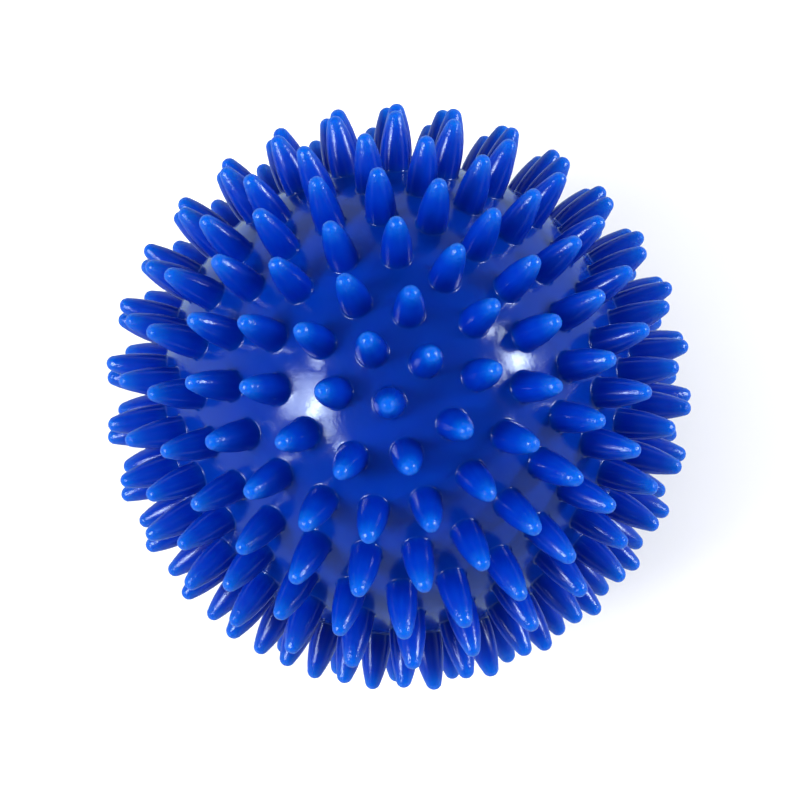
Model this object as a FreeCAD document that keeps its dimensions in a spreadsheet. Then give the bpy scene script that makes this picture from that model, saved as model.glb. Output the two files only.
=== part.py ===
"""Spiky massage ball: two moulded halves welded at the equator, with a filling valve.

Millimetres and degrees. The origin is the centre of the ball, and +Z points to the pole spike of
the upper half. The spikes stand on circles of latitude, an equal step apart. The lower half is
the same moulding turned over, with a push-in valve in place of its pole spike. Air is pumped in
through the valve seat, and the plug closes it.

Every outline is drawn on the XZ plane of its body, where X is the distance from the axis, and is
turned about Z. Lower half, valve seat and plug are drawn with their pole up and then turned over.
"""
import FreeCAD, Part
import math
import os

import Sketcher
from FreeCAD import Vector

PARTS_FOLDER = "parts"

# Driving sizes: name in the sheet, value, what it sets.
SIZES = [
    ("shell_diameter", 80.4, "outside of the wall, between the spikes"),
    ("wall", 2.0, "wall of the shell"),
    ("spike_length", 9.8, "spike, from the shell to its tip"),
    ("spike_base_diameter", 5.0, "spike where it leaves the shell"),
    ("spike_tip_radius", 1.35, "round end of a spike"),
    ("spike_side_radius", 24.0, "bulge of a spike's side"),
    ("circle_step", 12.0, "angle between neighbouring circles of spikes"),
    ("turnover_azimuth", 4.1, "horizontal axis about which the lower half is turned over"),
    ("lip_height", 2.4, "lip of the lower half, inside the upper half"),
    ("lip_thickness", 1.0, "lip of the lower half"),
    ("weld_gap", 0.05, "gap around the lip"),
    ("boss_diameter", 13.0, "thick place in the wall around the valve"),
    ("boss_depth", 4.0, "from the outside of the shell to the inner face of the boss"),
    ("valve_sink", 0.3, "from the outside of the shell to the outer face of the valve"),
    ("neck_diameter", 7.0, "neck of the valve seat, through the wall"),
    ("seat_gap", 0.05, "gap between the valve seat and the wall"),
    ("rim_width", 1.0, "rim of the valve seat, beyond its neck"),
    ("rim_thickness", 0.9, "rim of the valve seat"),
    ("barb_reach", 1.2, "barb behind the boss, beyond the neck"),
    ("barb_thickness", 0.6, "straight edge of the barb"),
    ("barb_taper", 1.4, "tapered length of the barb"),
    ("barrel_diameter", 5.6, "inner end of the valve seat"),
    ("seat_length", 9.0, "valve seat, from its outer face to its inner end"),
    ("pin_diameter", 2.4, "pin of the plug"),
    ("pin_gap", 0.03, "gap between the pin and the bore of the valve seat"),
    ("pin_end_radius", 0.8, "rounded end of the pin"),
    ("plug_length", 7.6, "plug, from its outer face to the end of its pin"),
    ("head_diameter", 5.0, "head of the plug"),
    ("head_thickness", 1.1, "head of the plug"),
    ("head_gap", 0.1, "gap around the head"),
    ("dish_diameter", 3.6, "hollow in the head of the plug"),
    ("dish_radius", 4.0, "curve of that hollow"),
]

# Circles of spikes from the pole to the equator: number of spikes, azimuth of the first one.
CIRCLES = [(6, 48.3), (12, 17.9), (18, 8.7), (23, 15.0), (27, 7.6), (29, 1.6), (30, 8.0)]

# Lengths that several outlines share, worked out from the sheet.
OUTSIDE = "(Sizes.shell_diameter / 2)"
INSIDE = "(Sizes.shell_diameter / 2 - Sizes.wall)"
LIP_OUTSIDE = f"({INSIDE} + Sizes.lip_thickness)"
REBATE = f"({LIP_OUTSIDE} + Sizes.weld_gap)"
SPIKE_TIP = f"({OUTSIDE} + Sizes.spike_length)"
SPIKE_ROOT = f"(({OUTSIDE} + {REBATE}) / 2)"
NECK = "(Sizes.neck_diameter / 2)"
RIM = f"({NECK} + Sizes.rim_width)"
PIN = "(Sizes.pin_diameter / 2)"
HEAD = "(Sizes.head_diameter / 2)"
VALVE_FACE = f"({OUTSIDE} - Sizes.valve_sink)"
RIM_FACE = f"({VALVE_FACE} - Sizes.rim_thickness)"
BOSS_FACE = f"({OUTSIDE} - Sizes.boss_depth)"
HEAD_FACE = f"({VALVE_FACE} - Sizes.head_thickness)"

TURNED_OVER = (
    "placement(vector(0; 0; 0);"
    " rotation(vector(cos(Sizes.turnover_azimuth); sin(Sizes.turnover_azimuth); 0); 180))"
)


def make_sheet(doc):
    """Write the driving sizes to a spreadsheet: the value in column A, its use in column B."""
    rows = list(SIZES)
    for number, (count, start) in enumerate(CIRCLES, 1):
        rows.append((f"circle{number}_count", count, f"spikes on circle {number}"))
        rows.append((f"circle{number}_start", start, "azimuth of the first of them"))
    sheet = doc.addObject("Spreadsheet::Sheet", "Sizes")
    for row, (alias, value, use) in enumerate(rows, 1):
        sheet.set(f"A{row}", str(value))
        sheet.setAlias(f"A{row}", alias)
        sheet.set(f"B{row}", use)
    doc.recompute()
    return sheet


def origin_feature(body, role):
    """The plane or axis of a body's own origin that has this role."""
    return next(item for item in body.Origin.OriginFeatures if item.Role == role)


def make_sketch(body, name):
    """An empty sketch on the XZ plane of the body."""
    sketch = body.newObject("Sketcher::SketchObject", name)
    sketch.AttachmentSupport = [(origin_feature(body, "XZ_Plane"), "")]
    sketch.MapMode = "FlatFace"
    return sketch


def drive(sketch, constraint, expression):
    """Add a constraint and bind its value to an expression of the sheet."""
    index = sketch.addConstraint(constraint)
    sketch.setExpression(f"Constraints[{index}]", expression)


def fix_coordinate(sketch, direction, edge, end, expression):
    """Hold one coordinate of an edge's end at the value of an expression."""
    origin = (-1, 1)
    value = sketch.evalExpression(expression)
    if expression == "0":
        axis = -2 if direction == "DistanceX" else -1
        sketch.addConstraint(Sketcher.Constraint("PointOnObject", edge, end, axis))
    elif value > 0:
        drive(sketch, Sketcher.Constraint(direction, *origin, edge, end, value), expression)
    else:
        constraint = Sketcher.Constraint(direction, edge, end, *origin, -value)
        drive(sketch, constraint, f"-1 * {expression}")


def arc_between(start, end, radius):
    """The short arc from start to end that turns left, or right if the radius is negative."""
    chord = end - start
    to_left = Vector(-chord.y, chord.x, 0).normalize()
    reach = math.sqrt(radius ** 2 - (chord.Length / 2) ** 2)
    centre = (start + end) * 0.5 + to_left * math.copysign(reach, radius)
    first, last = (start, end) if radius > 0 else (end, start)
    angles = [math.atan2(point.y - centre.y, point.x - centre.x) for point in (first, last)]
    return Part.ArcOfCircle(Part.Circle(centre, Vector(0, 0, 1), abs(radius)), *angles)


def make_outline(body, name, corners):
    """A closed sketch. Each corner is x, y and, if an arc leads on from it, the arc's radius.

    All are expressions of the sheet. An arc turns left, or right if its radius is negative.
    """
    sketch = make_sketch(body, name)
    points = [Vector(*[float(sketch.evalExpression(item)) for item in corner[:2]], 0)
              for corner in corners]
    ends = []
    for edge, corner in enumerate(corners):
        start = points[edge]
        end = points[(edge + 1) % len(points)]
        if len(corner) == 2:
            sketch.addGeometry(Part.LineSegment(start, end))
            ends.append((1, 2))
        else:
            radius = float(sketch.evalExpression(corner[2]))
            sketch.addGeometry(arc_between(start, end, radius))
            ends.append((1, 2) if radius > 0 else (2, 1))
    for edge, corner in enumerate(corners):
        before = edge - 1 if edge else len(corners) - 1
        join = Sketcher.Constraint("Coincident", before, ends[before][1], edge, ends[edge][0])
        sketch.addConstraint(join)
        fix_coordinate(sketch, "DistanceX", edge, ends[edge][0], corner[0])
        fix_coordinate(sketch, "DistanceY", edge, ends[edge][0], corner[1])
    for edge, corner in enumerate(corners):
        if len(corner) == 3:
            radius = float(sketch.evalExpression(corner[2]))
            expression = corner[2] if radius > 0 else f"-1 * {corner[2]}"
            drive(sketch, Sketcher.Constraint("Radius", edge, abs(radius)), expression)
    return sketch


def revolve(body, sketch, name):
    """Turn a sketch once round its own vertical axis."""
    revolution = body.newObject("PartDesign::Revolution", name)
    revolution.Profile = sketch
    revolution.ReferenceAxis = (sketch, ["V_Axis"])
    revolution.Angle = 360
    revolution.Refine = False
    body.Tip = revolution
    return revolution


def make_spike_outline(body, name, tilt, azimuth):
    """Half the outline of one spike, with its axis tilted from the pole towards an azimuth.

    The side is an arc from the shell that runs smoothly into the round tip. The root ends in the
    skin outside the lip, halfway through it.
    """
    sketch = make_sketch(body, name)
    base = "(Sizes.spike_base_diameter / 2)"
    base_x, base_y, root_y, tip_y, tip_radius = [
        float(sketch.evalExpression(item))
        for item in (base, OUTSIDE, SPIKE_ROOT, SPIKE_TIP, "Sizes.spike_tip_radius")
    ]
    cap_centre = Vector(0, tip_y - tip_radius, 0)
    cap = Part.ArcOfCircle(Part.Circle(cap_centre, Vector(0, 0, 1), tip_radius), 0, math.pi / 2)
    shoulder = cap_centre + Vector(tip_radius, 0, 0)
    foot, base_point = Vector(base_x, root_y, 0), Vector(base_x, base_y, 0)
    side_radius = float(sketch.evalExpression("Sizes.spike_side_radius"))
    bottom, wall_line, side, top, axis = range(5)
    sketch.addGeometry(Part.LineSegment(Vector(0, root_y, 0), foot))
    sketch.addGeometry(Part.LineSegment(foot, base_point))
    sketch.addGeometry(arc_between(base_point, shoulder, side_radius))
    sketch.addGeometry(cap)
    sketch.addGeometry(Part.LineSegment(Vector(0, tip_y, 0), Vector(0, root_y, 0)))
    for first, second in [(bottom, wall_line), (wall_line, side), (top, axis), (axis, bottom)]:
        sketch.addConstraint(Sketcher.Constraint("Coincident", first, 2, second, 1))
    sketch.addConstraint(Sketcher.Constraint("Tangent", side, 2, top, 1))
    sketch.addConstraint(Sketcher.Constraint("PointOnObject", top, 3, -2))
    sketch.addConstraint(Sketcher.Constraint("Horizontal", bottom))
    sketch.addConstraint(Sketcher.Constraint("Vertical", wall_line))
    fix_coordinate(sketch, "DistanceX", axis, 1, "0")
    fix_coordinate(sketch, "DistanceX", axis, 2, "0")
    fix_coordinate(sketch, "DistanceX", wall_line, 2, base)
    fix_coordinate(sketch, "DistanceY", wall_line, 2, OUTSIDE)
    fix_coordinate(sketch, "DistanceY", axis, 1, SPIKE_TIP)
    fix_coordinate(sketch, "DistanceY", axis, 2, SPIKE_ROOT)
    drive(sketch, Sketcher.Constraint("Radius", side, side_radius), "Sizes.spike_side_radius")
    drive(sketch, Sketcher.Constraint("Radius", top, tip_radius), "Sizes.spike_tip_radius")
    turn = f"rotation(vector(0; 1; 0); {azimuth}) * rotation(vector(0; 0; 1); -1 * ({tilt}))"
    sketch.setExpression("AttachmentOffset", f"placement(vector(0; 0; 0); {turn})")
    return sketch


def add_spikes(body):
    """Grow every circle of spikes from a half shell, one spike repeated round the pole."""
    for number in range(1, len(CIRCLES) + 1):
        tilt = f"{number} * Sizes.circle_step"
        start = f"Sizes.circle{number}_start"
        outline = make_spike_outline(body, f"SpikeOutline{number}", tilt, start)
        spike = revolve(body, outline, f"Spike{number}")
        circle = body.newObject("PartDesign::PolarPattern", f"SpikeCircle{number}")
        circle.Originals = [spike]
        circle.Axis = (origin_feature(body, "Z_Axis"), [""])
        circle.Angle = 360
        circle.setExpression("Occurrences", f"Sizes.circle{number}_count")
        circle.Refine = False
        body.Tip = circle


def make_upper_half(doc):
    """Upper half of the ball: a dome with a rebate for the lip, a pole spike and the circles."""
    body = doc.addObject("PartDesign::Body", "UpperHalf")
    body.Label = "upper_half_shell"
    rebate_top = "(Sizes.lip_height + Sizes.weld_gap)"
    outline = make_outline(body, "UpperOutline", [
        (OUTSIDE, "0", OUTSIDE),
        ("0", OUTSIDE),
        ("0", INSIDE, f"-1 * {INSIDE}"),
        (f"sqrt({INSIDE}^2 - {rebate_top}^2)", rebate_top),
        (REBATE, rebate_top),
        (REBATE, "0"),
    ])
    revolve(body, outline, "UpperDome")
    pole_outline = make_spike_outline(body, "PoleSpikeOutline", "0", "0")
    revolve(body, pole_outline, "PoleSpike")
    add_spikes(body)
    return body


def make_lower_half(doc):
    """Lower half of the ball: a dome with a lip at its rim and a bossed hole for the valve."""
    body = doc.addObject("PartDesign::Body", "LowerHalf")
    body.Label = "lower_half_shell"
    hole = f"({NECK} + Sizes.seat_gap)"
    recess = f"({RIM} + Sizes.seat_gap)"
    boss = "(Sizes.boss_diameter / 2)"
    outline = make_outline(body, "LowerOutline", [
        (OUTSIDE, "0", OUTSIDE),
        (recess, f"sqrt({OUTSIDE}^2 - {recess}^2)"),
        (recess, RIM_FACE),
        (hole, RIM_FACE),
        (hole, BOSS_FACE),
        (boss, BOSS_FACE),
        (boss, f"sqrt({INSIDE}^2 - {boss}^2)", f"-1 * {INSIDE}"),
        (INSIDE, "0"),
        (INSIDE, "-1 * Sizes.lip_height"),
        (LIP_OUTSIDE, "-1 * Sizes.lip_height"),
        (LIP_OUTSIDE, "0"),
    ])
    revolve(body, outline, "LowerDome")
    add_spikes(body)
    body.setExpression("Placement", TURNED_OVER)
    return body


def make_valve_seat(doc):
    """Soft seat pushed into the hole: rim outside, neck in the wall, barb behind the boss."""
    body = doc.addObject("PartDesign::Body", "ValveSeat")
    body.Label = "valve_seat"
    bore = f"({PIN} + Sizes.pin_gap)"
    socket = f"({HEAD} + Sizes.head_gap)"
    barb = f"({NECK} + Sizes.barb_reach)"
    barrel = "(Sizes.barrel_diameter / 2)"
    inner_end = f"({VALVE_FACE} - Sizes.seat_length)"
    barb_edge = f"({BOSS_FACE} - Sizes.barb_thickness)"
    outline = make_outline(body, "SeatOutline", [
        (RIM, VALVE_FACE),
        (socket, VALVE_FACE),
        (socket, HEAD_FACE),
        (bore, HEAD_FACE),
        (bore, inner_end),
        (barrel, inner_end),
        (barrel, f"({barb_edge} - Sizes.barb_taper)"),
        (barb, barb_edge),
        (barb, BOSS_FACE),
        (NECK, BOSS_FACE),
        (NECK, RIM_FACE),
        (RIM, RIM_FACE),
    ])
    revolve(body, outline, "SeatTurned")
    body.setExpression("Placement", TURNED_OVER)
    return body


def make_valve_plug(doc):
    """Stopper that closes the bore of the seat: a dished head and a pin with a rounded end."""
    body = doc.addObject("PartDesign::Body", "ValvePlug")
    body.Label = "valve_plug"
    dish = "(Sizes.dish_diameter / 2)"
    pin_end = f"({VALVE_FACE} - Sizes.plug_length)"
    dish_bottom = f"({VALVE_FACE} - (Sizes.dish_radius - sqrt(Sizes.dish_radius^2 - {dish}^2)))"
    outline = make_outline(body, "PlugOutline", [
        ("0", pin_end),
        (f"({PIN} - Sizes.pin_end_radius)", pin_end, "Sizes.pin_end_radius"),
        (PIN, f"({pin_end} + Sizes.pin_end_radius)"),
        (PIN, HEAD_FACE),
        (HEAD, HEAD_FACE),
        (HEAD, VALVE_FACE),
        (dish, VALVE_FACE, "-1 * Sizes.dish_radius"),
        ("0", dish_bottom),
    ])
    revolve(body, outline, "PlugTurned")
    body.setExpression("Placement", TURNED_OVER)
    return body


def check(doc, bodies):
    """Stop if an object of the document failed or a piece is not one sound solid."""
    for item in doc.Objects:
        if {"Invalid", "Error"} & set(item.State):
            raise RuntimeError(f"{item.Name} is in state {item.State}")
    for body in bodies:
        if body.Shape.isNull() or not body.Shape.isValid() or len(body.Shape.Solids) != 1:
            raise RuntimeError(f"{body.Label} is not one valid solid")


def main():
    doc = FreeCAD.newDocument("massage_ball")
    make_sheet(doc)
    makers = (make_upper_half, make_lower_half, make_valve_seat, make_valve_plug)
    bodies = [make_piece(doc) for make_piece in makers]
    doc.recompute()
    check(doc, bodies)
    os.makedirs(PARTS_FOLDER, exist_ok=True)
    for body in bodies:
        body.Shape.exportStep(os.path.join(PARTS_FOLDER, f"{body.Label}.step"))
        print(f"{body.Label}: {body.Shape.Volume:.1f} mm3, {len(body.Shape.Faces)} faces")


main()
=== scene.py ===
"""Looks of the spiky massage ball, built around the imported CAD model. Metres and radians.

The ball is two moulded halves of glossy, slightly translucent blue PVC. Each half is one closed
mesh: an outer skin that flows through small fillets into its spikes, and the hollow inside with
the welded lap joint and, in the lower half, the boss of the valve.
"""
import math
import random

import bmesh
import bpy
import numpy as np
from mathutils import Matrix, Vector
from mathutils.geometry import delaunay_2d_cdt


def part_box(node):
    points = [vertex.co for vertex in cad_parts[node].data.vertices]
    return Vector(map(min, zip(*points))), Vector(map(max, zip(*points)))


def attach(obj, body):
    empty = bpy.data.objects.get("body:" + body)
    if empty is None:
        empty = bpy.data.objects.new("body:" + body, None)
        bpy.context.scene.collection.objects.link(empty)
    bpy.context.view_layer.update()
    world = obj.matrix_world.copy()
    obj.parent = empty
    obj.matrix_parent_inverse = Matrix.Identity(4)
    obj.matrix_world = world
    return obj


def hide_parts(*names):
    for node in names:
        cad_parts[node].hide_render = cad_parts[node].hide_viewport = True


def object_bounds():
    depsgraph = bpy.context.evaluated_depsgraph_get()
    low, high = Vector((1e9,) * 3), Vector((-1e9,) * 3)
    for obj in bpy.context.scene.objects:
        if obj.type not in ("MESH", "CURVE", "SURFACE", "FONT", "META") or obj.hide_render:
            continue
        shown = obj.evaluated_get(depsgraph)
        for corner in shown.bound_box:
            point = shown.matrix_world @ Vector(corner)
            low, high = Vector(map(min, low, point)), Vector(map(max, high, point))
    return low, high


MM = 0.001

# The ball, as in the CAD model.
SHELL_RADIUS = 40.2 * MM
WALL = 2.0 * MM
SPIKE_BASE_RADIUS = 2.5 * MM
SPIKE_TIP_RADIUS = 1.35 * MM
SPIKE_SIDE_RADIUS = 24.0 * MM
CIRCLE_STEP = math.radians(12.0)
CIRCLES = [(6, 48.3), (12, 17.9), (18, 8.7), (23, 15.0), (27, 7.6), (29, 1.6), (30, 8.0)]
TURNOVER_AZIMUTH = math.radians(4.1)
LIP_HEIGHT = 2.4 * MM
LIP_THICKNESS = 1.0 * MM
WELD_GAP = 0.05 * MM
BOSS_RADIUS = 6.5 * MM
BOSS_DEPTH = 4.0 * MM
VALVE_SINK = 0.3 * MM
NECK_RADIUS = 3.5 * MM
SEAT_GAP = 0.05 * MM
RIM_WIDTH = 1.0 * MM
RIM_THICKNESS = 0.9 * MM
BARB_REACH = 1.2 * MM
BARB_THICKNESS = 0.6 * MM
BARB_TAPER = 1.4 * MM
BARREL_RADIUS = 2.8 * MM
SEAT_LENGTH = 9.0 * MM
PIN_RADIUS = 1.2 * MM
PIN_GAP = 0.03 * MM
PIN_END_RADIUS = 0.8 * MM
PLUG_LENGTH = 7.6 * MM
HEAD_RADIUS = 2.5 * MM
HEAD_THICKNESS = 1.1 * MM
HEAD_GAP = 0.1 * MM
DISH_RADIUS = 1.8 * MM
DISH_DEPTH = 0.43 * MM

# Radii and heights that several outlines share, with the pole up.
INSIDE_RADIUS = SHELL_RADIUS - WALL
LIP_RADIUS = INSIDE_RADIUS + LIP_THICKNESS
HOLE_RADIUS = NECK_RADIUS + SEAT_GAP
RIM_RADIUS = NECK_RADIUS + RIM_WIDTH
RECESS_RADIUS = RIM_RADIUS + SEAT_GAP
BOSS_FACE = SHELL_RADIUS - BOSS_DEPTH
VALVE_FACE = SHELL_RADIUS - VALVE_SINK
RIM_FACE = VALVE_FACE - RIM_THICKNESS
HEAD_FACE = VALVE_FACE - HEAD_THICKNESS

# What the moulding adds to the plain shape. The shares are of a spike's length and thickness.
FILLET_RADIUS = 0.35 * MM
SEAM_BEVEL = 0.12 * MM
SEAT_EDGE_RADIUS = 0.2 * MM
HEAD_EDGE_RADIUS = 0.18 * MM
SHORTEST_SPIKE = 0.975
THINNEST_SPIKE = 0.965
LARGEST_OVALNESS = 0.03
LARGEST_BEND = 0.38 * MM
SEED = 11

# Mesh density.
SPIKE_SEGMENTS = 32
LATHE_SEGMENTS = 120
FILLET_STEPS = 4
SIDE_STEPS = 6
CAP_STEPS = 5
DOME_STEPS = 18
DISH_STEPS = 6
SKIN_SPACING = 1.25 * MM
SKIN_CLEARANCE = 0.55 * SKIN_SPACING
GOLDEN_ANGLE = math.pi * (3 - math.sqrt(5))
SHARP_EDGE = math.radians(40)
ON_AXIS = 1e-9

# The studio: metres, and degrees round the ball.
LAMP_DISTANCE = 0.9
FLOOR_HALF_WIDTH = 4.0
CAMERA_AZIMUTH = 29.36
CAMERA_ELEVATION = 78.4
CAMERA_DISTANCE = 0.4332
CAMERA_FRAMING = (0.26 * MM, -0.48 * MM)
FOCAL_LENGTH = 114.3
SENSOR_WIDTH = 36.0


# ---------------------------------------------------------------- outlines in the (x, z) plane

def circles_meet(centre_a, radius_a, centre_b, radius_b):
    """The meeting point of two circles that lies to the right of the way from a to b."""
    gap = centre_b - centre_a
    distance = gap.length
    along = (distance ** 2 + radius_a ** 2 - radius_b ** 2) / (2 * distance)
    aside = math.sqrt(radius_a ** 2 - along ** 2)
    forward = gap / distance
    return centre_a + forward * along + Vector((forward.y, -forward.x)) * aside


def arc_points(centre, start, end, steps):
    """Points on the short arc about centre from start to end, both included."""
    first, last = start - centre, end - centre
    turn = math.atan2(first.x * last.y - first.y * last.x, first.dot(last))
    return [centre + Matrix.Rotation(turn * step / steps, 2) @ first for step in range(steps + 1)]


def spike_profile(tip_height):
    """Half the outline of a spike as (distance from its axis, distance from the ball's centre).

    A fillet leads from the shell to the side, an arc, which runs into the round tip.
    """
    ball_centre = Vector((0.0, 0.0))
    base = Vector((SPIKE_BASE_RADIUS, SHELL_RADIUS))
    cap_centre = Vector((0.0, tip_height - SPIKE_TIP_RADIUS))
    tip = Vector((0.0, tip_height))
    side_centre = circles_meet(
        cap_centre, SPIKE_SIDE_RADIUS - SPIKE_TIP_RADIUS, base, SPIKE_SIDE_RADIUS
    )
    fillet_centre = circles_meet(
        ball_centre, SHELL_RADIUS + FILLET_RADIUS, side_centre, SPIKE_SIDE_RADIUS + FILLET_RADIUS
    )
    foot = fillet_centre * (SHELL_RADIUS / (SHELL_RADIUS + FILLET_RADIUS))
    to_fillet = (fillet_centre - side_centre).normalized()
    side_start = side_centre + to_fillet * SPIKE_SIDE_RADIUS
    shoulder = side_centre + (cap_centre - side_centre).normalized() * SPIKE_SIDE_RADIUS
    fillet = arc_points(fillet_centre, foot, side_start, FILLET_STEPS)
    side = arc_points(side_centre, side_start, shoulder, SIDE_STEPS)
    cap = arc_points(cap_centre, shoulder, tip, CAP_STEPS)
    return fillet[:-1] + side[:-1] + cap


def rounded(corners, radius, closed):
    """An outline with its corners rounded, each by a short curve of three points."""
    count = len(corners)
    points = []
    for index, corner in enumerate(corners):
        corner = Vector(corner)
        if not closed and index in (0, count - 1):
            points.append(corner)
            continue
        before = Vector(corners[index - 1])
        after = Vector(corners[(index + 1) % count])
        reach = min(radius, (before - corner).length / 3, (after - corner).length / 3)
        start = corner + (before - corner).normalized() * reach
        end = corner + (after - corner).normalized() * reach
        points += [start, corner * 0.5 + (start + end) * 0.25, end]
    return points


# ---------------------------------------------------------------- meshes

class Surface:
    """Points and faces of one closed mesh while it is being put together."""

    def __init__(self):
        self.points = []
        self.faces = []

    def add(self, points):
        """Add points and return their numbers."""
        first = len(self.points)
        self.points += [Vector(point) for point in points]
        return list(range(first, len(self.points)))

    def bridge(self, ring_a, ring_b):
        """Join two rings that have the same number of points."""
        count = len(ring_a)
        for index in range(count):
            following = (index + 1) % count
            self.faces.append((ring_a[index], ring_a[following], ring_b[following], ring_b[index]))

    def fan(self, ring, tip):
        """Close a ring onto one point."""
        for index, number in enumerate(ring):
            self.faces.append((number, ring[(index + 1) % len(ring)], tip))

    def lathe(self, profile, first_ring=None, last_ring=None):
        """Turn (radius, height) points about Z, from and to given rings or points on the axis."""
        ring = first_ring
        for radius, height in profile:
            if radius < ON_AXIS:
                point = self.add([(0, 0, height)])[0]
                if ring is None:
                    ring = point
                else:
                    self.fan(ring, point)
                continue
            new_ring = self.add(circle_points(radius, height))
            if isinstance(ring, int):
                self.fan(new_ring, ring)
            elif ring is not None:
                self.bridge(ring, new_ring)
            ring = new_ring
        if last_ring is not None:
            self.bridge(ring, last_ring)
        return ring

    def to_object(self, name, turn):
        """Make the Blender object, with outward faces, smooth but for sharp edges."""
        mesh = bpy.data.meshes.new(name)
        mesh.from_pydata([turn @ point for point in self.points], [], self.faces)
        editor = bmesh.new()
        editor.from_mesh(mesh)
        bmesh.ops.recalc_face_normals(editor, faces=editor.faces)
        if editor.calc_volume(signed=True) < 0:
            bmesh.ops.reverse_faces(editor, faces=editor.faces)
        editor.to_mesh(mesh)
        editor.free()
        mesh.shade_smooth()
        mesh.set_sharp_from_angle(angle=SHARP_EDGE)
        piece = bpy.data.objects.new(name, mesh)
        bpy.context.scene.collection.objects.link(piece)
        return piece


def circle_points(radius, height):
    """Points of a horizontal circle about Z."""
    angles = [2 * math.pi * step / LATHE_SEGMENTS for step in range(LATHE_SEGMENTS)]
    return [(radius * math.cos(angle), radius * math.sin(angle), height) for angle in angles]


def spike_directions(with_pole):
    """Directions of a half's spikes from the centre of the ball, with the pole up."""
    directions = [Vector((0, 0, 1))] if with_pole else []
    for number, (count, start) in enumerate(CIRCLES, 1):
        tilt = number * CIRCLE_STEP
        for index in range(count):
            azimuth = math.radians(start) + 2 * math.pi * index / count
            flat = Vector((math.cos(azimuth), math.sin(azimuth), 0))
            directions.append(flat * math.sin(tilt) + Vector((0, 0, math.cos(tilt))))
    return directions


def add_spike(surface, direction, profile, chance):
    """Add one spike, a little shorter, thinner, more oval and more bent than the ideal one."""
    side = direction.cross(Vector((0, 1, 0))).normalized()
    other = direction.cross(side)
    tip_height = profile[-1].y
    length = tip_height - SHELL_RADIUS
    shortening = (1 - chance.uniform(SHORTEST_SPIKE, 1)) * length
    thinning = 1 - chance.uniform(THINNEST_SPIKE, 1)
    oval_size, oval_phase = chance.uniform(0, LARGEST_OVALNESS), chance.uniform(0, math.pi)
    bend_size, bend_azimuth = chance.uniform(0, LARGEST_BEND), chance.uniform(0, 2 * math.pi)
    bend = (side * math.cos(bend_azimuth) + other * math.sin(bend_azimuth)) * bend_size
    foot_ring = ring = None
    for radius, height in profile:
        share = max(0.0, (height - SHELL_RADIUS) / length)
        centre = direction * (height - shortening * share) + bend * share ** 2
        if radius < ON_AXIS:
            surface.fan(ring, surface.add([centre])[0])
            continue
        points = []
        for step in range(SPIKE_SEGMENTS):
            angle = 2 * math.pi * step / SPIKE_SEGMENTS
            oval = 1 + share * (oval_size * math.cos(2 * (angle - oval_phase)) - thinning)
            outward = side * math.cos(angle) + other * math.sin(angle)
            points.append(centre + outward * radius * oval)
        new_ring = surface.add(points)
        if ring is not None:
            surface.bridge(ring, new_ring)
        else:
            foot_ring = new_ring
        ring = new_ring
    return foot_ring


def even_points_on_dome(directions, clear_angle, valve_angle):
    """Evenly spread points of the shell, clear of the spikes, the valve and the rim."""
    count = int(4 * math.pi * (SHELL_RADIUS / SKIN_SPACING) ** 2)
    heights = 1 - (2 * np.arange(count) + 1) / count
    angles = GOLDEN_ANGLE * np.arange(count)
    flat = np.sqrt(1 - heights ** 2)
    points = np.stack([flat * np.cos(angles), flat * np.sin(angles), heights], axis=1)
    margin = SKIN_CLEARANCE / SHELL_RADIUS
    nearest = (points @ np.array(directions).T).max(axis=1)
    clear_of_spikes = nearest < math.cos(clear_angle + margin)
    clear_of_rim = heights > margin + SEAM_BEVEL / SHELL_RADIUS
    keep = clear_of_spikes & clear_of_rim
    if valve_angle:
        keep &= heights < math.cos(valve_angle + margin)
    return points[keep] * SHELL_RADIUS


def cover_dome(surface, numbers, open_rings):
    """Cover the shell between the spikes with triangles, leaving the given rings open.

    Seen from the opposite pole the dome is a flat disc, and the Delaunay triangles of the disc
    are those of the dome.
    """
    disc = []
    for number in numbers:
        point = surface.points[number].normalized()
        disc.append(Vector((point.x, point.y)) / (1 + point.z))
    place_of = {number: place for place, number in enumerate(numbers)}
    ring_of = {}
    ring_edges = []
    for index, ring in enumerate(open_rings):
        for number, following in zip(ring, ring[1:] + ring[:1]):
            ring_of[number] = index
            ring_edges.append((place_of[number], place_of[following]))
    all_triangles, nearness = 0, 1e-7
    result = delaunay_2d_cdt(disc, ring_edges, [], all_triangles, nearness)
    triangles, sources = result[2], result[3]
    for places in triangles:
        triangle = [numbers[sources[place][0]] for place in places]
        rings = {ring_of.get(number) for number in triangle}
        if len(rings) > 1 or None in rings:
            surface.faces.append(triangle)


def make_half(name, with_valve, turn):
    """One half of the ball: skin with spikes, and the hollow with its lap joint."""
    surface = Surface()
    chance = random.Random(SEED + with_valve)
    tip_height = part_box("upper_half_shell")[1].z
    profile = spike_profile(tip_height)
    directions = spike_directions(with_pole=not with_valve)
    foot_rings = [add_spike(surface, direction, profile, chance) for direction in directions]
    rim_radius = math.sqrt(SHELL_RADIUS ** 2 - SEAM_BEVEL ** 2)
    rim_ring = surface.add(circle_points(rim_radius, SEAM_BEVEL))
    open_rings = foot_rings + [rim_ring]
    valve_ring = None
    valve_angle = 0.0
    if with_valve:
        valve_angle = math.asin(RECESS_RADIUS / SHELL_RADIUS)
        valve_height = SHELL_RADIUS * math.cos(valve_angle)
        valve_ring = surface.add(circle_points(RECESS_RADIUS, valve_height))
        open_rings.append(valve_ring)
    foot_angle = math.atan2(profile[0].x, profile[0].y)
    filler = surface.add(even_points_on_dome(directions, foot_angle, valve_angle))
    cover_dome(surface, [number for ring in open_rings for number in ring] + filler, open_rings)
    surface.lathe(inside_profile(with_valve), first_ring=rim_ring, last_ring=valve_ring)
    return surface.to_object(name, turn)


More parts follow.
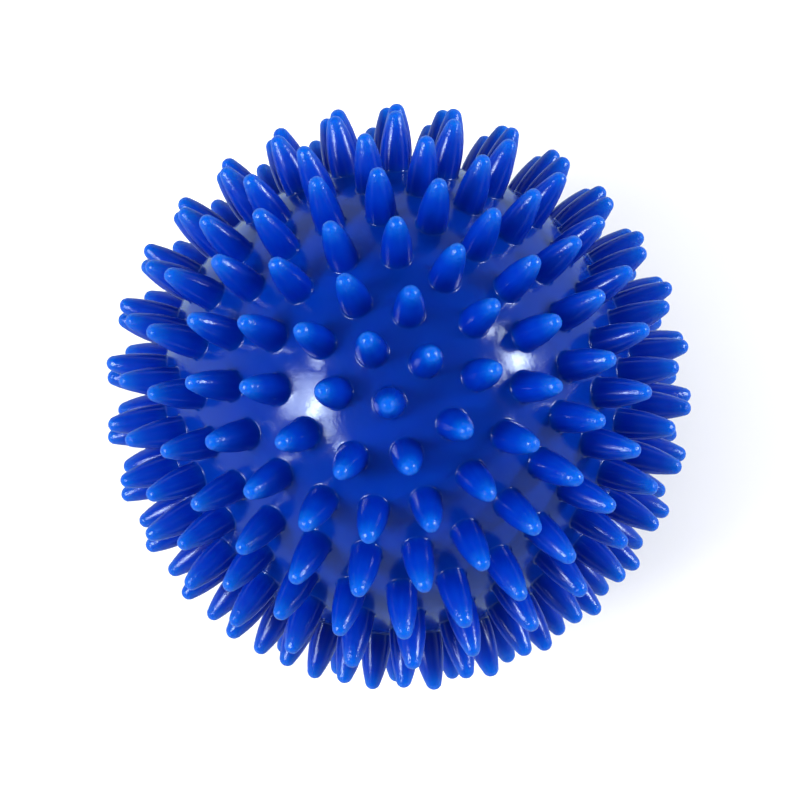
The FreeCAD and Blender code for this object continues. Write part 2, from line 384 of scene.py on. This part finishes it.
def inside_profile(with_valve):
    """Outline of the inside of a half, from the bevel of the seam to the pole or the valve."""
    points = [(SHELL_RADIUS - SEAM_BEVEL, 0.0)]
    if with_valve:
        points += [(LIP_RADIUS, 0.0), (LIP_RADIUS, -LIP_HEIGHT), (INSIDE_RADIUS, -LIP_HEIGHT)]
        start, end = 0.0, math.acos(BOSS_RADIUS / INSIDE_RADIUS)
        after = [
            (BOSS_RADIUS, BOSS_FACE),
            (HOLE_RADIUS, BOSS_FACE),
            (HOLE_RADIUS, RIM_FACE),
            (RECESS_RADIUS, RIM_FACE),
        ]
    else:
        rebate = LIP_RADIUS + WELD_GAP
        rebate_top = LIP_HEIGHT + WELD_GAP
        points += [(rebate, 0.0), (rebate, rebate_top)]
        start, end = math.asin(rebate_top / INSIDE_RADIUS), math.pi / 2
        after = []
    for step in range(DOME_STEPS + 1):
        angle = start + (end - start) * step / DOME_STEPS
        points.append((INSIDE_RADIUS * math.cos(angle), INSIDE_RADIUS * math.sin(angle)))
    return points + after


def make_valve_seat(turn):
    """Soft seat of the valve, with rounded edges."""
    socket = HEAD_RADIUS + HEAD_GAP
    bore = PIN_RADIUS + PIN_GAP
    barb = NECK_RADIUS + BARB_REACH
    inner_end = VALVE_FACE - SEAT_LENGTH
    barb_edge = BOSS_FACE - BARB_THICKNESS
    outline = [
        (RIM_RADIUS, VALVE_FACE),
        (socket, VALVE_FACE),
        (socket, HEAD_FACE),
        (bore, HEAD_FACE),
        (bore, inner_end),
        (BARREL_RADIUS, inner_end),
        (BARREL_RADIUS, barb_edge - BARB_TAPER),
        (barb, barb_edge),
        (barb, BOSS_FACE),
        (NECK_RADIUS, BOSS_FACE),
        (NECK_RADIUS, RIM_FACE),
        (RIM_RADIUS, RIM_FACE),
    ]
    surface = Surface()
    profile = rounded(outline, SEAT_EDGE_RADIUS, closed=True)
    first_ring = surface.add(circle_points(*profile[0]))
    surface.lathe(profile[1:], first_ring=first_ring, last_ring=first_ring)
    return surface.to_object("valve_seat_soft", turn)


def make_valve_plug(turn):
    """Stopper of the valve: pin with a round end, head with a dish for the fingernail."""
    pin_end = VALVE_FACE - PLUG_LENGTH
    pin_corners = [(0, pin_end), (PIN_RADIUS, pin_end), (PIN_RADIUS, HEAD_FACE)]
    head_corners = [
        (PIN_RADIUS, HEAD_FACE),
        (HEAD_RADIUS, HEAD_FACE),
        (HEAD_RADIUS, VALVE_FACE),
        (DISH_RADIUS, VALVE_FACE),
    ]
    pin = rounded(pin_corners, PIN_END_RADIUS, closed=False)
    head = rounded(head_corners, HEAD_EDGE_RADIUS, closed=False)
    dish = []
    for step in range(1, DISH_STEPS + 1):
        outward = 1 - step / DISH_STEPS
        dish.append((DISH_RADIUS * outward, VALVE_FACE - DISH_DEPTH * (1 - outward ** 2)))
    surface = Surface()
    surface.lathe(pin + head[1:] + dish)
    return surface.to_object("valve_plug_soft", turn)


# ---------------------------------------------------------------- materials

def new_material(name):
    """A material and its node tree, shader and texture coordinates fixed to the piece."""
    material = bpy.data.materials.new(name)
    material.use_nodes = True
    tree = material.node_tree
    place = tree.nodes.new("ShaderNodeTexCoord").outputs["Object"]
    return material, tree, tree.nodes["Principled BSDF"], place


def add_noise(tree, place, scale):
    """Noise with so many waves to the metre, from 0 to 1."""
    noise = tree.nodes.new("ShaderNodeTexNoise")
    noise.inputs["Scale"].default_value = scale
    noise.inputs["Detail"].default_value = 2.0
    tree.links.new(place, noise.inputs["Vector"])
    return noise.outputs["Fac"]


def add_ramp(tree, value, interpolation, stops):
    """A colour that follows a value through stops of (position, red, green, blue)."""
    node = tree.nodes.new("ShaderNodeValToRGB")
    ramp = node.color_ramp
    ramp.interpolation = interpolation
    while len(ramp.elements) < len(stops):
        ramp.elements.new(0.5)
    for element, (position, *colour) in zip(ramp.elements, stops):
        element.position = position
        element.color = colour + [1]
    tree.links.new(value, node.inputs["Fac"])
    return node.outputs["Color"]


def add_map(tree, value, interpolation, from_range, to_range):
    """A value of one range carried over to another."""
    node = tree.nodes.new("ShaderNodeMapRange")
    node.interpolation_type = interpolation
    node.inputs["From Min"].default_value, node.inputs["From Max"].default_value = from_range
    node.inputs["To Min"].default_value, node.inputs["To Max"].default_value = to_range
    tree.links.new(value, node.inputs["Value"])
    return node.outputs["Result"]


def add_multiple(tree, value, factor, addend):
    """One value times a factor, plus another value."""
    node = tree.nodes.new("ShaderNodeMath")
    node.operation = "MULTIPLY_ADD"
    node.inputs[1].default_value = factor
    tree.links.new(value, node.inputs[0])
    tree.links.new(addend, node.inputs[2])
    return node.outputs["Value"]


def add_bump(tree, shader, height, distance):
    """Fine relief on the surface. Returns the socket for its strength."""
    bump = tree.nodes.new("ShaderNodeBump")
    bump.inputs["Distance"].default_value = distance
    tree.links.new(height, bump.inputs["Height"])
    tree.links.new(bump.outputs["Normal"], shader.inputs["Normal"])
    return bump.inputs["Strength"]


def make_ball_skin():
    """Glossy soft PVC, duller and rougher towards the tips; deep blue at the shell, darkened there
    as painted shade between the spikes, and lighter towards the tips as painted light shining
    through them.
    """
    material, tree, shader, place = new_material("ball_skin_pvc")
    shader.inputs["IOR"].default_value = 1.53
    shader.inputs["Specular IOR Level"].default_value = 0.36
    shader.inputs["Specular Tint"].default_value = (0.7, 0.85, 1.0, 1)
    shader.inputs["Subsurface Weight"].default_value = 0.7
    shader.inputs["Subsurface Radius"].default_value = (0.1, 0.45, 1.0)
    shader.inputs["Subsurface Scale"].default_value = 3.2 * MM

    tip_height = 0.86
    from_centre = tree.nodes.new("ShaderNodeVectorMath")
    from_centre.operation = "LENGTH"
    tree.links.new(place, from_centre.inputs[0])
    shell_to_tip = (SHELL_RADIUS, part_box("upper_half_shell")[1].z)
    height = add_map(tree, from_centre.outputs["Value"], "LINEAR", shell_to_tip, (0, tip_height))

    cloud = add_noise(tree, place, 90.0)
    clouded_height = add_multiple(tree, cloud, 0.16, height)
    # Painted shade and light: the blue darkens towards the shell, where shade falls between the
    # spikes, and lightens towards the tips, where light shines through them; the cloud adds random
    # tone.
    colour = add_ramp(tree, clouded_height, "EASE", [
        (0.05, 0.0, 0.022, 0.26),
        (0.25, 0.0, 0.015, 0.29),
        (0.60, 0.0, 0.026, 0.34),
        (0.95, 0.0, 0.082, 0.43),
    ])
    tree.links.new(colour, shader.inputs["Base Color"])

    uneven_gloss = add_map(tree, cloud, "SMOOTHSTEP", (0.3, 0.7), (0.14, 0.19))
    roughness = add_multiple(tree, height, 0.08, uneven_gloss)
    tree.links.new(roughness, shader.inputs["Roughness"])

    ripple = add_noise(tree, place, 1600.0)
    rough_tips = add_map(tree, height, "SMOOTHSTEP", (0.45, tip_height), (0.12, 1.0))
    tree.links.new(rough_tips, add_bump(tree, shader, ripple, 0.16 * MM))
    return material


def make_valve_plastic(name, colour, roughness):
    """Softer, duller PVC of the valve parts, with fine mottling."""
    material, tree, shader, place = new_material(name)
    shader.inputs["Roughness"].default_value = roughness
    shader.inputs["IOR"].default_value = 1.53
    mottle = add_noise(tree, place, 900.0)
    darker = [0.8 * part for part in colour]
    tint = add_ramp(tree, mottle, "LINEAR", [(0.35, *darker), (0.7, *colour)])
    tree.links.new(tint, shader.inputs["Base Color"])
    add_bump(tree, shader, mottle, 0.05 * MM).default_value = 0.2
    return material


# ---------------------------------------------------------------- studio

def direction_of(azimuth, elevation):
    """Unit vector towards an azimuth and elevation in degrees; azimuth 0 is on the -Y side."""
    azimuth, elevation = math.radians(azimuth), math.radians(elevation)
    flat = Vector((math.sin(azimuth), -math.cos(azimuth), 0))
    return flat * math.cos(elevation) + Vector((0, 0, math.sin(elevation)))


def facing(back, up_hint):
    """Rotation of a camera or light that looks along -back, with up_hint upwards."""
    right = up_hint.cross(back).normalized()
    up = back.cross(right)
    return Matrix((right, up, back)).transposed()


def add_softbox(name, azimuth, elevation, width, height, power, glossy=True):
    """A rectangular softbox that looks at the ball; one that isn't glossy has no reflection."""
    light = bpy.data.lights.new(name, "AREA")
    light.shape = "RECTANGLE"
    light.size = width
    light.size_y = height
    light.energy = power
    towards = direction_of(azimuth, elevation)
    lamp = bpy.data.objects.new(name, light)
    lamp.matrix_world = facing(towards, Vector((0, 1, 0))).to_4x4()
    lamp.location = towards * LAMP_DISTANCE
    lamp.visible_glossy = glossy
    bpy.context.scene.collection.objects.link(lamp)


def make_floor(level):
    """A pale floor, wide enough for every view and clear from underneath, to show the valve.

    It isn't reflected in the ball: the surroundings are, which are darker.
    """
    ends = (-FLOOR_HALF_WIDTH, FLOOR_HALF_WIDTH)
    mesh = bpy.data.meshes.new("floor")
    mesh.from_pydata([(x, y, level) for y in ends for x in ends], [], [(0, 1, 3, 2)])
    floor = bpy.data.objects.new("floor", mesh)
    bpy.context.scene.collection.objects.link(floor)
    material = bpy.data.materials.new("pale_floor")
    material.use_nodes = True
    tree = material.node_tree
    shader = tree.nodes["Principled BSDF"]
    shader.inputs["Base Color"].default_value = (0.9, 0.9, 0.9, 1)
    shader.inputs["Roughness"].default_value = 0.7
    side = tree.nodes.new("ShaderNodeNewGeometry")
    clear = tree.nodes.new("ShaderNodeBsdfTransparent")
    one_sided = tree.nodes.new("ShaderNodeMixShader")
    tree.links.new(side.outputs["Backfacing"], one_sided.inputs["Fac"])
    tree.links.new(shader.outputs["BSDF"], one_sided.inputs[1])
    tree.links.new(clear.outputs["BSDF"], one_sided.inputs[2])
    tree.links.new(one_sided.outputs["Shader"], tree.nodes["Material Output"].inputs["Surface"])
    mesh.materials.append(material)
    floor.visible_glossy = False


def make_world():
    """Surroundings that are brightest at the horizon, a little darker below it, dark above."""
    world = bpy.data.worlds.new("studio")
    bpy.context.scene.world = world
    world.use_nodes = True
    tree = world.node_tree
    place = tree.nodes.new("ShaderNodeTexCoord")
    split = tree.nodes.new("ShaderNodeSeparateXYZ")
    tree.links.new(place.outputs["Generated"], split.inputs["Vector"])
    rise = add_map(tree, split.outputs["Z"], "LINEAR", (-1, 1), (0, 1))
    shade = add_ramp(tree, rise, "EASE", [
        (0.28, 0.55, 0.71, 0.82),
        (0.50, 0.73, 0.87, 0.97),
        (0.82, 0.07, 0.08, 0.10),
    ])
    tree.links.new(shade, tree.nodes["Background"].inputs["Color"])


def make_camera():
    """Camera above the upper half, a little off its pole spike."""
    camera_data = bpy.data.cameras.new("camera")
    camera_data.sensor_width = SENSOR_WIDTH
    camera_data.lens = FOCAL_LENGTH
    back = direction_of(CAMERA_AZIMUTH, CAMERA_ELEVATION)
    camera = bpy.data.objects.new("camera", camera_data)
    rotation = facing(back, Vector((0, 1, 0)))
    framing = rotation @ Vector((*CAMERA_FRAMING, 0))
    camera.matrix_world = rotation.to_4x4()
    camera.location = back * CAMERA_DISTANCE + framing
    bpy.context.scene.collection.objects.link(camera)
    bpy.context.scene.camera = camera


# ---------------------------------------------------------------- the scene

def make_ball():
    """Build the four pieces, finish them and let each ride on its CAD body."""
    upright = Matrix.Identity(3)
    turn_axis = Vector((math.cos(TURNOVER_AZIMUTH), math.sin(TURNOVER_AZIMUTH), 0))
    turned_over = Matrix.Rotation(math.pi, 3, turn_axis)
    skin = make_ball_skin()
    seat_plastic = make_valve_plastic("valve_seat_pvc", (0.0, 0.016, 0.30), 0.42)
    plug_plastic = make_valve_plastic("valve_plug_pvc", (0.0, 0.024, 0.38), 0.36)
    pieces = [
        (make_half("upper_skin", False, upright), skin, "ball", "upper_half_shell", "ball_skin"),
        (make_half("lower_skin", True, turned_over), skin, "ball", "lower_half_shell", "ball_skin"),
        (make_valve_seat(turned_over), seat_plastic, "ball", "valve_seat", "valve"),
        (make_valve_plug(turned_over), plug_plastic, "plug", "valve_plug", "plug"),
    ]
    for piece, material, body, node, slot in pieces:
        piece.data.materials.append(material)
        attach(piece, body)
        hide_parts(node)


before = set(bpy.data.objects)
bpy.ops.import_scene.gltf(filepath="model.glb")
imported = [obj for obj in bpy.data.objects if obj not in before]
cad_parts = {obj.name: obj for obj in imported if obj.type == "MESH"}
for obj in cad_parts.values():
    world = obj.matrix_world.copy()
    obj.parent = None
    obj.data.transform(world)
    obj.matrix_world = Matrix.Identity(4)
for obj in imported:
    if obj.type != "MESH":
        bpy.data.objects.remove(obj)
cad_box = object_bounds()
make_ball()
make_floor(cad_box[0][2])
make_world()
add_softbox("left_softbox", -70, 50, 0.36, 0.46, 7.6)
add_softbox("right_softbox", 101, 27, 0.24, 0.40, 5.6)
add_softbox("left_core", -70, 55, 0.05, 0.09, 1.5)
add_softbox("right_core", 101, 27, 0.05, 0.09, 1.4)
add_softbox("ceiling_fill", 0, 89, 1.4, 1.4, 9.8, glossy=False)
make_camera()
bpy.context.scene.view_settings.view_transform = "Standard"
